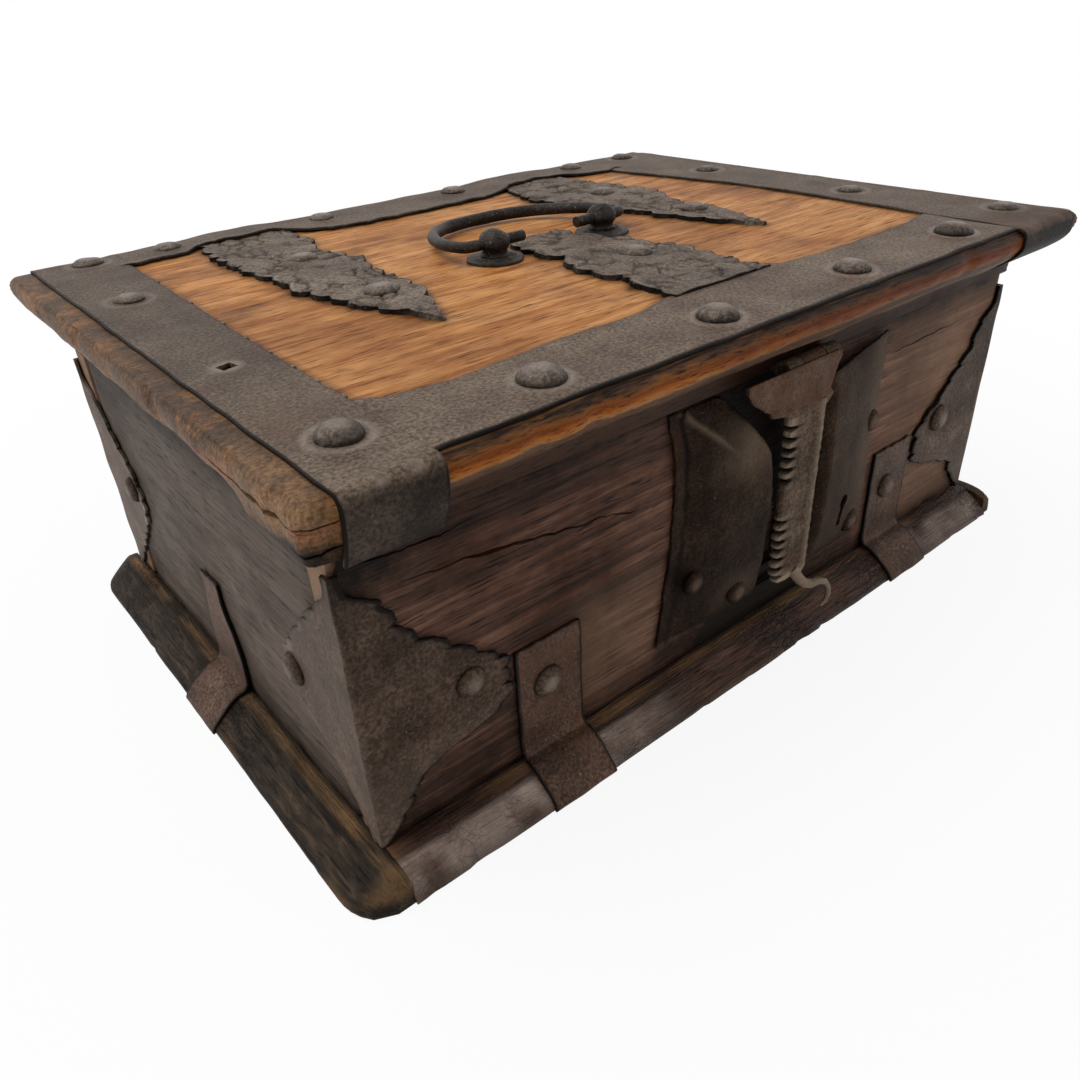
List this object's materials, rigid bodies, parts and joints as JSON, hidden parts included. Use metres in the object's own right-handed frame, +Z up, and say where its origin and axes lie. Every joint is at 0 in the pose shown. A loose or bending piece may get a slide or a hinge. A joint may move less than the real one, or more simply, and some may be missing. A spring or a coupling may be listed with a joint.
{
  "type": "iron-bound oak casket",
  "caption": "Low rectangular oak casket on a moulded plinth, bound with iron straps and domed nails, with a hinged lid, a folding bail handle and a hasp that enters a sliding-bolt lock.",
  "frame": {"origin": "middle of the underside, where the casket stands", "axes": "+X along the front from left to right, -Y out of the lock side, +Z up"},
  "size_m": [0.4642, 0.3303, 0.195],
  "materials": {
    "lid_oak": "waxed, worn warm brown oak",
    "dark_oak": "dark, cracked old oak",
    "plinth_oak": "dark oak with chipped edges",
    "iron": "hand-forged, dark brown patina",
    "rusty_iron": "hand-forged, rusty patina",
    "worn_iron": "rubbed bright by use"
  },
  "bodies": {
    "box": {"front_board": "dark_oak", "back_board": "dark_oak", "left_board": "dark_oak", "right_board": "dark_oak", "bottom_board": "dark_oak", "plinth_front": "plinth_oak", "plinth_back": "plinth_oak", "plinth_left": "plinth_oak", "plinth_right": "plinth_oak", "corner_iron_front_left": "iron", "corner_iron_front_right": "iron", "corner_iron_back_left": "iron", "corner_iron_back_right": "iron", "base_strap_front_left": "rusty_iron", "base_strap_front_right": "rusty_iron", "base_strap_back_left": "rusty_iron", "base_strap_back_right": "rusty_iron", "base_strap_left": "rusty_iron", "base_strap_right": "rusty_iron", "lock_plate": "iron", "lock_case": "iron", "bolt_keeper": "iron", "bolt_spring": "worn_iron", "key_post": "worn_iron", "hinge_leaf_left": "iron", "hinge_leaf_right": "iron", "hinge_pin_left": "worn_iron", "hinge_pin_right": "worn_iron", "nail_corner_left": "iron", "nail_corner_right": "iron", "nail_base_left": "iron", "nail_base_right": "iron"},
    "lock_bolt": {"lock_bolt": "worn_iron"},
    "lid": {"lid_board": "lid_oak", "lid_strap_front": "iron", "lid_strap_back": "iron", "lid_strap_left": "iron", "lid_strap_right": "iron", "lid_strap_centre": "iron", "hinge_strap_left": "iron", "hinge_strap_right": "iron", "hasp_strap": "iron", "hasp_pin": "worn_iron", "handle_post_left": "iron", "handle_post_right": "iron", "handle_rose_left": "iron", "handle_rose_right": "iron", "nail_front_1": "iron", "nail_front_2": "iron", "nail_front_3": "iron", "nail_front_4": "iron", "nail_front_5": "iron", "nail_left": "iron", "nail_right": "iron", "nail_hinge_left": "iron", "nail_hinge_right": "iron", "nail_centre": "iron"},
    "handle": {"bail_handle": "iron"},
    "hasp": {"hasp": "rusty_iron", "hasp_staple": "worn_iron"}
  },
  "joints": [
    {"name": "lid_hinge", "type": "hinge", "parent": "box", "child": "lid", "pos_m": [0, 0.144, 0.1497], "axis": [-1, 0, 0], "range_deg": [0, 105]},
    {"name": "handle_swing", "type": "hinge", "parent": "lid", "child": "handle", "pos_m": [-0.004, -0.004, 0.1885], "axis": [1, 0, 0], "range_deg": [0, 182]},
    {"name": "hasp_swing", "type": "hinge", "parent": "lid", "child": "hasp", "pos_m": [0.022, -0.145, 0.1493], "axis": [-1, 0, 0], "range_deg": [-4.2, 110]},
    {"name": "bolt_slide", "type": "slide", "parent": "box", "child": "lock_bolt", "axis": [-1, 0, 0], "range_m": [0, 0.014]}
  ]
}
